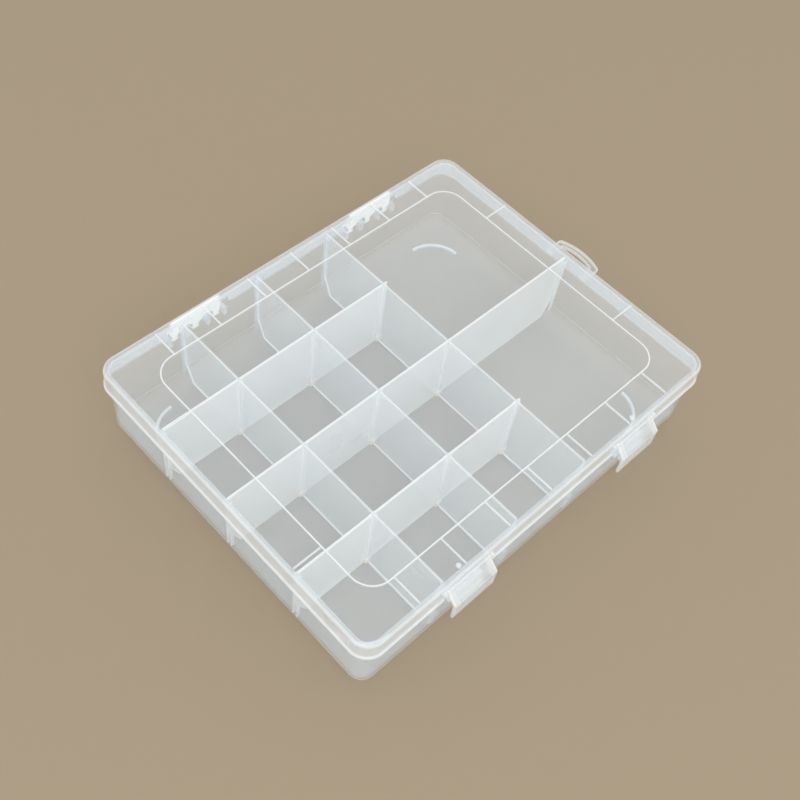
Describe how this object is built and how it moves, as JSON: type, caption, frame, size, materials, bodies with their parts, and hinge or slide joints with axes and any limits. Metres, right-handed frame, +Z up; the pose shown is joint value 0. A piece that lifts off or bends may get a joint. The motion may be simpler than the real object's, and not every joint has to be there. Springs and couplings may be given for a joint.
{
  "type": "parts sorting tray",
  "caption": "Shallow translucent plastic box with a hinged lid, two swinging snap latches, a hang loop and lift-out cross-lapped dividers that sort small parts.",
  "frame": {"origin": "centre of the plane that the four curved feet stand on, below the middle of the tray", "axes": "+X along the length towards the hang loop, +Y towards the hinges, +Z up through the lid"},
  "size_m": [0.2508, 0.2025, 0.0509],
  "materials": {
    "tray_plastic": "translucent milky-clear polypropylene, smooth",
    "lid_plastic": "translucent clear polypropylene, smooth",
    "latch_plastic": "translucent white polypropylene, smooth",
    "panel_plastic": "milky translucent polypropylene, fine satin"
  },
  "bodies": {
    "tray": {"base_tray": "tray_plastic", "catch_left": "tray_plastic", "catch_right": "tray_plastic", "divider_long_back": "panel_plastic", "divider_long_middle": "panel_plastic", "divider_long_front": "panel_plastic", "divider_cross_left": "panel_plastic", "divider_cross_middle": "panel_plastic", "divider_cross_right": "panel_plastic"},
    "lid": {"lid": "lid_plastic"},
    "latch_left": {"latch_left": "latch_plastic"},
    "latch_right": {"latch_right": "latch_plastic"}
  },
  "joints": [
    {"name": "lid_hinge", "type": "hinge", "parent": "tray", "child": "lid", "pos_m": [0, 0.0975, 0.0343], "axis": [-1, 0, 0], "range_deg": [0, 180]},
    {"name": "latch_left_pivot", "type": "hinge", "parent": "lid", "child": "latch_left", "pos_m": [-0.0577, -0.0958, 0.0463], "axis": [-1, 0, 0], "range_deg": [0, 110]},
    {"name": "latch_right_pivot", "type": "hinge", "parent": "lid", "child": "latch_right", "pos_m": [0.0577, -0.0958, 0.0463], "axis": [-1, 0, 0], "range_deg": [0, 110]}
  ]
}
